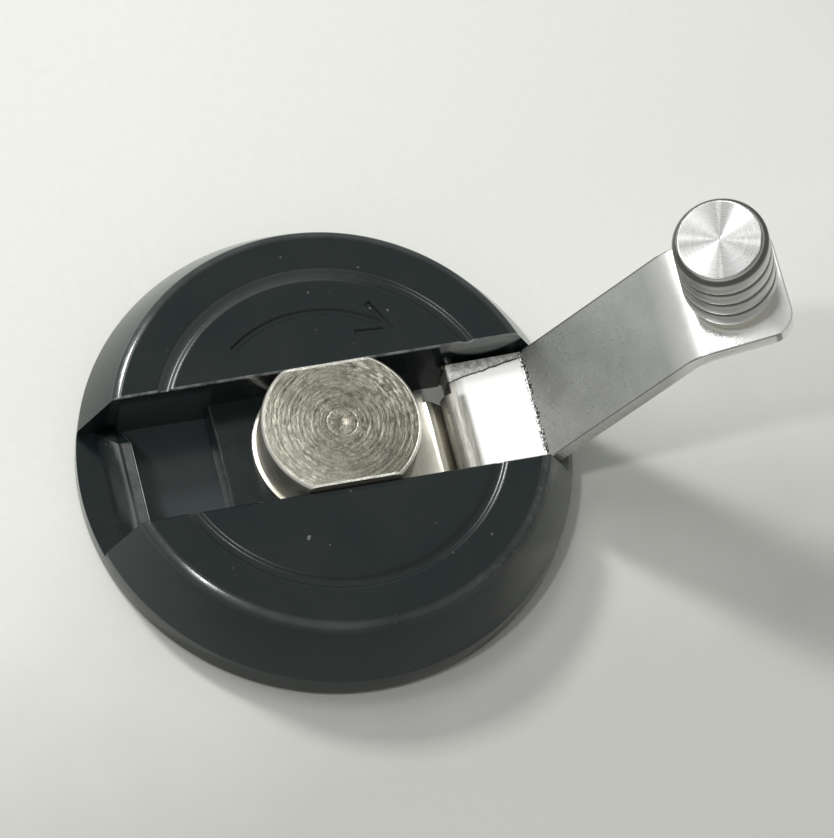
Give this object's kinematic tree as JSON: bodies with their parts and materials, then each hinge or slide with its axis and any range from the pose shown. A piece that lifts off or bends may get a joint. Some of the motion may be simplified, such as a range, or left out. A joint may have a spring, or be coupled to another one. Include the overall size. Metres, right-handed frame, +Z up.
{
  "type": "folding crank knob",
  "caption": "Round black knob with a slot across it, a hinged cranked lever that folds back over its centre stud, and a ribbed finger knob that spins on the lever's end.",
  "frame": {"origin": "where the cap's axis meets the stud's end face, level with the cap's flat underside; the stud's own axis is 0.43 mm from it towards +X", "axes": "+Z up along the cap's axis, out of its top face; +X along the slot towards the lever; +Y across the slot, towards the engraved arrow"},
  "size_m": [0.0345, 0.025, 0.0193],
  "materials": {
    "cap_black": "glossy black with fine rub marks",
    "stud_steel": "turned face, dull",
    "leaf_steel": "bright spring strip",
    "pin_steel": "ground",
    "clip_brass": "plain",
    "hardware_steel": "plain",
    "lever_steel": "satin, fine speckle",
    "knob_steel": "turned bright"
  },
  "bodies": {
    "cap": {"cap_body": "cap_black", "drive_stud": "stud_steel", "leaf_spring": "leaf_steel", "hinge_pin": "pin_steel", "pin_clip_1": "clip_brass", "pin_clip_2": "clip_brass", "clip_screw_1": "hardware_steel", "clip_screw_2": "hardware_steel", "stud_washer": "hardware_steel", "stud_snap_ring": "hardware_steel"},
    "lever": {"crank_lever": "lever_steel"},
    "grip": {"finger_knob": "knob_steel", "knob_washer": "hardware_steel", "knob_snap_ring": "hardware_steel"}
  },
  "joints": [
    {"name": "lever_fold", "type": "hinge", "parent": "cap", "child": "lever", "pos_m": [0.0071, 0, 0.00225], "axis": [0, -1, 0], "range_deg": [0, 112]},
    {"name": "knob_spin", "type": "hinge", "parent": "lever", "child": "grip", "pos_m": [0.01932, 0, 0.01294], "axis": [-0.2756, 0, 0.9613], "continuous": true}
  ]
}
